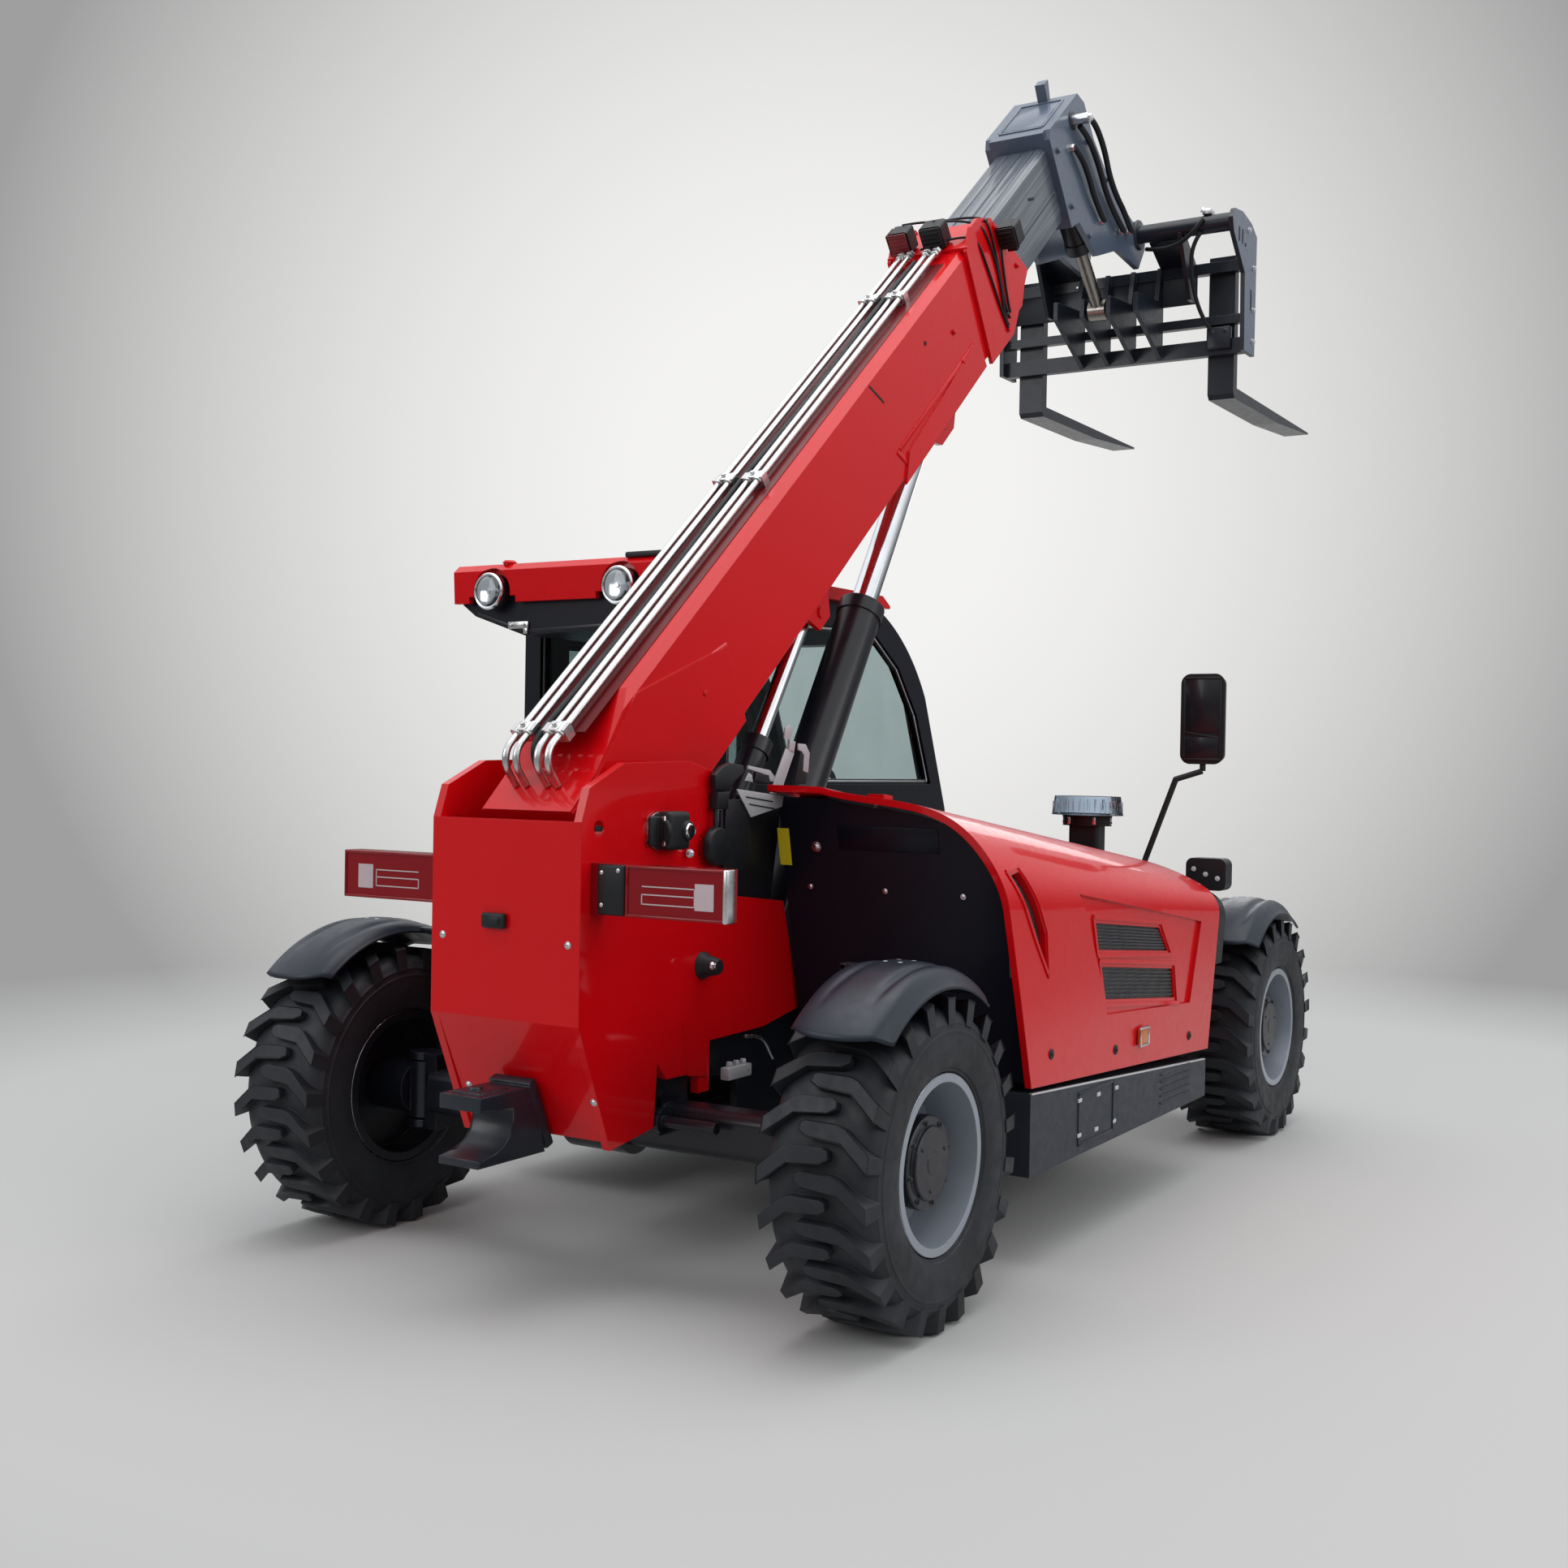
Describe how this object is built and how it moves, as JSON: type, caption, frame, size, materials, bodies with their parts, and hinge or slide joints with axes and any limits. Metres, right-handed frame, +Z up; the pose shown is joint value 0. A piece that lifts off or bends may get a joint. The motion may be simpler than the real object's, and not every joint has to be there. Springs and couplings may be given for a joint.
{
  "type": "telehandler",
  "caption": "Compact telehandler: tail-mounted telescopic boom with pallet forks, side cab, side engine bay and four steered wheels.",
  "frame": {"origin": "on the ground, in the middle of the machine's overall length and width", "axes": "+X forward along the boom side, +Y to the machine's left, +Z up"},
  "size_m": [5.72, 2.121, 4.3001],
  "materials": {
    "tyre": "matt black rubber",
    "rim_silver": "satin silver grey paint",
    "dark_plastic": "dark blue grey moulded plastic",
    "glass": "lightly tinted",
    "chrome": "polished rod",
    "seat_fabric": "dark woven cover",
    "red_paint": "gloss red paint",
    "grey_paint": "satin grey paint",
    "lamp_plastic": "moulded lens",
    "black_paint": "satin black paint"
  },
  "bodies": {
    "chassis": {"chassis_frame": "black_paint", "tail_box": "red_paint", "pivot_pin": "chrome", "front_axle": "black_paint", "rear_axle": "black_paint", "engine_block": "black_paint", "engine_liner": "black_paint", "side_skirt": "grey_paint", "left_tank": "grey_paint", "cab_shell": "black_paint", "cab_glass": "glass", "cab_roof": "red_paint", "seat": "seat_fabric", "steering_console": "dark_plastic", "rear_lamps": "lamp_plastic", "tow_hitch": "black_paint", "front_cowl": "black_paint", "beacon": "lamp_plastic", "right_mirror": "black_paint", "head_lamps": "lamp_plastic", "tail_fittings": "black_paint", "bonnet_hinge": "chrome", "roof_visor": "dark_plastic", "work_lamps": "lamp_plastic"},
    "bonnet": {"bonnet": "red_paint", "bonnet_grilles": "dark_plastic"},
    "door": {"cab_door": "black_paint", "door_glass": "glass"},
    "boom": {"boom_outer": "red_paint", "hose_pipes": "chrome", "boom_lamps": "lamp_plastic"},
    "extension": {"boom_inner": "grey_paint", "boom_head": "grey_paint", "nose_pin": "chrome"},
    "carriage": {"carriage": "black_paint", "fork_left": "black_paint", "fork_right": "black_paint"},
    "lift_rod": {"lift_rod": "chrome"},
    "lift_barrel": {"lift_barrel": "black_paint"},
    "comp_rod": {"comp_rod": "chrome"},
    "comp_barrel": {"comp_barrel": "black_paint"},
    "tilt_barrel": {"tilt_barrel": "black_paint"},
    "tilt_rod": {"tilt_rod": "chrome"},
    "knuckle_front_left": {"knuckle_front_left": "black_paint", "fender_front_left": "dark_plastic"},
    "wheel_front_left": {"tyre_front_left": "tyre", "rim_front_left": "rim_silver"},
    "knuckle_front_right": {"knuckle_front_right": "black_paint", "fender_front_right": "dark_plastic"},
    "wheel_front_right": {"tyre_front_right": "tyre", "rim_front_right": "rim_silver"},
    "knuckle_rear_left": {"knuckle_rear_left": "black_paint", "fender_rear_left": "dark_plastic"},
    "wheel_rear_left": {"tyre_rear_left": "tyre", "rim_rear_left": "rim_silver"},
    "knuckle_rear_right": {"knuckle_rear_right": "black_paint", "fender_rear_right": "dark_plastic"},
    "wheel_rear_right": {"tyre_rear_right": "tyre", "rim_rear_right": "rim_silver"}
  },
  "joints": [
    {"name": "boom_lift", "type": "hinge", "parent": "chassis", "child": "boom", "pos_m": [-2.375, 0, 1.235], "axis": [0, -1, 0], "range_deg": [-40.5, 27.5]},
    {"name": "boom_extend", "type": "slide", "parent": "boom", "child": "extension", "axis": [0.7604, 0, 0.6494], "range_m": [-0.58, 1.3]},
    {"name": "carriage_tilt", "type": "hinge", "parent": "extension", "child": "carriage", "pos_m": [1.41179, 0, 3.83798], "axis": [0, 1, 0], "range_deg": [-50, 42]},
    {"name": "lift_head", "type": "hinge", "parent": "boom", "child": "lift_rod", "pos_m": [-0.39186, 0, 2.68547], "axis": [0, -1, 0], "range_deg": [-1.3, 0.9]},
    {"name": "lift_stroke", "type": "slide", "parent": "lift_rod", "child": "lift_barrel", "axis": [-0.5226, 0, -0.8526], "range_m": [-0.64, 0.435]},
    {"name": "comp_head", "type": "hinge", "parent": "boom", "child": "comp_rod", "pos_m": [-1.21104, 0, 1.92007], "axis": [0, -1, 0], "range_deg": [-1.3, 0.9]},
    {"name": "comp_stroke", "type": "slide", "parent": "comp_rod", "child": "comp_barrel", "axis": [-0.5444, 0, -0.8388], "range_m": [-0.41, 0.28]},
    {"name": "tilt_foot", "type": "hinge", "parent": "extension", "child": "tilt_barrel", "pos_m": [0.62621, 0, 4.10338], "axis": [0, 1, 0], "range_deg": [-12, 10]},
    {"name": "tilt_stroke", "type": "slide", "parent": "tilt_barrel", "child": "tilt_rod", "axis": [0.7462, 0, -0.6658], "range_m": [-0.21, 0.25]},
    {"name": "bonnet_lid", "type": "hinge", "parent": "chassis", "child": "bonnet", "pos_m": [-1.465, -0.24, 1.295], "axis": [-1, 0, 0], "range_deg": [0, 60]},
    {"name": "door_swing", "type": "hinge", "parent": "chassis", "child": "door", "pos_m": [-1.35, 0.991, 1.35], "axis": [0, 0, 1], "range_deg": [0, 80]},
    {"name": "steer_front_left", "type": "hinge", "parent": "chassis", "child": "knuckle_front_left", "pos_m": [0.685, 0.7, 0.4225], "axis": [0, 0, 1], "range_deg": [-35, 35]},
    {"name": "steer_front_right", "type": "hinge", "parent": "chassis", "child": "knuckle_front_right", "pos_m": [0.685, -0.7, 0.4225], "axis": [0, 0, 1], "range_deg": [-35, 35]},
    {"name": "steer_rear_left", "type": "hinge", "parent": "chassis", "child": "knuckle_rear_left", "pos_m": [-2.235, 0.7, 0.4225], "axis": [0, 0, 1], "range_deg": [-35, 35]},
    {"name": "steer_rear_right", "type": "hinge", "parent": "chassis", "child": "knuckle_rear_right", "pos_m": [-2.235, -0.7, 0.4225], "axis": [0, 0, 1], "range_deg": [-35, 35]},
    {"name": "roll_front_left", "type": "hinge", "parent": "knuckle_front_left", "child": "wheel_front_left", "pos_m": [0.685, 0.908, 0.4225], "axis": [0, 1, 0], "continuous": true},
    {"name": "roll_front_right", "type": "hinge", "parent": "knuckle_front_right", "child": "wheel_front_right", "pos_m": [0.685, -0.908, 0.4225], "axis": [0, 1, 0], "continuous": true},
    {"name": "roll_rear_left", "type": "hinge", "parent": "knuckle_rear_left", "child": "wheel_rear_left", "pos_m": [-2.235, 0.908, 0.4225], "axis": [0, 1, 0], "continuous": true},
    {"name": "roll_rear_right", "type": "hinge", "parent": "knuckle_rear_right", "child": "wheel_rear_right", "pos_m": [-2.235, -0.908, 0.4225], "axis": [0, 1, 0], "continuous": true}
  ],
  "couplings": [
    {"joint": "lift_head", "follows": "boom_lift", "ratio": 0.03},
    {"joint": "lift_stroke", "follows": "boom_lift", "m_per_rad": 0.89},
    {"joint": "comp_head", "follows": "boom_lift", "ratio": 0.03},
    {"joint": "comp_stroke", "follows": "boom_lift", "m_per_rad": 0.575},
    {"joint": "tilt_foot", "follows": "carriage_tilt", "ratio": 0.236},
    {"joint": "tilt_stroke", "follows": "carriage_tilt", "m_per_rad": -0.28},
    {"joint": "steer_front_right", "follows": "steer_front_left", "ratio": 1},
    {"joint": "steer_rear_left", "follows": "steer_front_left", "ratio": -1},
    {"joint": "steer_rear_right", "follows": "steer_front_left", "ratio": -1}
  ]
}
